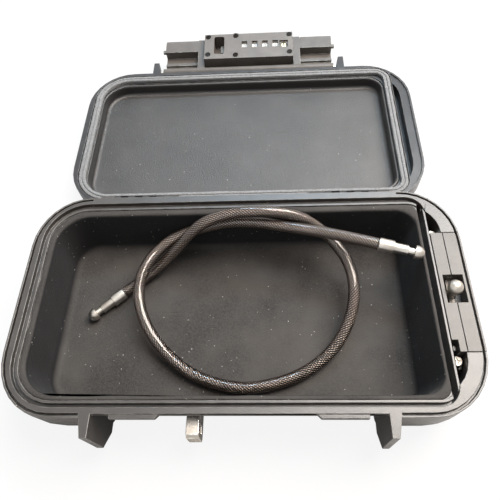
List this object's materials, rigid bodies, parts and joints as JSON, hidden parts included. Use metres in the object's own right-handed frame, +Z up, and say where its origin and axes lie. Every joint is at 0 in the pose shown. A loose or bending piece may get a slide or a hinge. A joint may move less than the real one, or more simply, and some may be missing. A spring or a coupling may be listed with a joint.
{
  "type": "portable safe",
  "caption": "Portable safe with foam lining, a hinged lid, a folding combination latch and a security cable that locks into its side.",
  "frame": {"origin": "middle of the base's flat underside", "axes": "+X to the right as seen from the front, towards the cable lock; +Y towards the hinges and the open lid; +Z up"},
  "size_m": [0.24, 0.3078, 0.0508],
  "materials": {
    "case_plastic": "finely textured moulded plastic",
    "lock_plastic": "fine satin moulded plastic",
    "dial_plastic": "smooth white, with dark figures",
    "foam": "soft, matt closed-cell foam",
    "gasket_rubber": "matt, dusty sponge rubber",
    "nickel_steel": "nickel plated, satin",
    "black_steel": "blackened steel screws",
    "brass": "plain turned brass",
    "cable_vinyl": "smoke-tinted clear vinyl over twisted steel strands"
  },
  "bodies": {
    "base": {"base_shell": "case_plastic", "base_foam_liner": "foam", "lock_staple": "nickel_steel", "cable_lock_inner": "lock_plastic", "cable_lock_outer": "lock_plastic", "cable_lock_screw_front": "nickel_steel", "cable_lock_screw_back": "nickel_steel", "plunger_spring": "nickel_steel", "hinge_pin_right": "nickel_steel", "hinge_pin_left": "nickel_steel", "security_cable": "cable_vinyl", "cable_end_left": "nickel_steel", "cable_end_right": "nickel_steel"},
    "lid": {"lid_shell": "case_plastic", "lid_foam_liner": "foam", "lid_gasket": "gasket_rubber", "latch_pin_right": "nickel_steel", "latch_pin_left": "nickel_steel"},
    "latch": {"latch_frame": "case_plastic", "lock_housing": "lock_plastic", "lock_back_plate": "lock_plastic", "plate_screw_1": "black_steel", "plate_screw_2": "black_steel", "plate_screw_3": "black_steel", "plate_screw_4": "black_steel", "plate_screw_5": "black_steel", "plate_screw_6": "black_steel", "dial_shaft": "nickel_steel", "bolt_spring": "nickel_steel"},
    "bolt": {"lock_bolt": "nickel_steel", "release_button": "lock_plastic"},
    "dial_1": {"number_dial_1": "dial_plastic"},
    "dial_2": {"number_dial_2": "dial_plastic"},
    "dial_3": {"number_dial_3": "dial_plastic"},
    "dial_4": {"number_dial_4": "dial_plastic"},
    "code_screw": {"code_change_screw": "brass"},
    "plunger": {"cable_plunger": "nickel_steel", "cable_fork": "nickel_steel"}
  },
  "joints": [
    {"name": "lid_hinge", "type": "hinge", "parent": "base", "child": "lid", "pos_m": [0, 0.06826, 0.02995], "axis": [1, 0, 0], "range_deg": [0, 180]},
    {"name": "latch_hinge", "type": "hinge", "parent": "lid", "child": "latch", "pos_m": [0, 0.20202, 0.016], "axis": [1, 0, 0], "range_deg": [-8, 82]},
    {"name": "release_slide", "type": "slide", "parent": "latch", "child": "bolt", "axis": [1, 0, 0], "range_m": [0, 0.003], "stiffness_N_per_m": 200, "deforming": ["bolt_spring"]},
    {"name": "dial_1_turn", "type": "hinge", "parent": "latch", "child": "dial_1", "pos_m": [-0.0025, 0.22275, 0.01649], "axis": [1, 0, 0], "continuous": true},
    {"name": "dial_2_turn", "type": "hinge", "parent": "latch", "child": "dial_2", "pos_m": [0.0055, 0.22275, 0.01649], "axis": [1, 0, 0], "continuous": true},
    {"name": "dial_3_turn", "type": "hinge", "parent": "latch", "child": "dial_3", "pos_m": [0.0135, 0.22275, 0.01649], "axis": [1, 0, 0], "continuous": true},
    {"name": "dial_4_turn", "type": "hinge", "parent": "latch", "child": "dial_4", "pos_m": [0.0215, 0.22275, 0.01649], "axis": [1, 0, 0], "continuous": true},
    {"name": "code_change_turn", "type": "hinge", "parent": "latch", "child": "code_screw", "pos_m": [0.028, 0.22163, 0.02088], "axis": [0, -0.1392, 0.9903], "range_deg": [0, 90]},
    {"name": "plunger_slide", "type": "slide", "parent": "base", "child": "plunger", "axis": [0, 0, 1], "range_m": [-0.00446, 0], "deforming": ["plunger_spring"]}
  ],
  "couplings": [
    {"joint": "plunger_slide", "follows": "lid_hinge", "m_per_rad": -0.0014165}
  ]
}
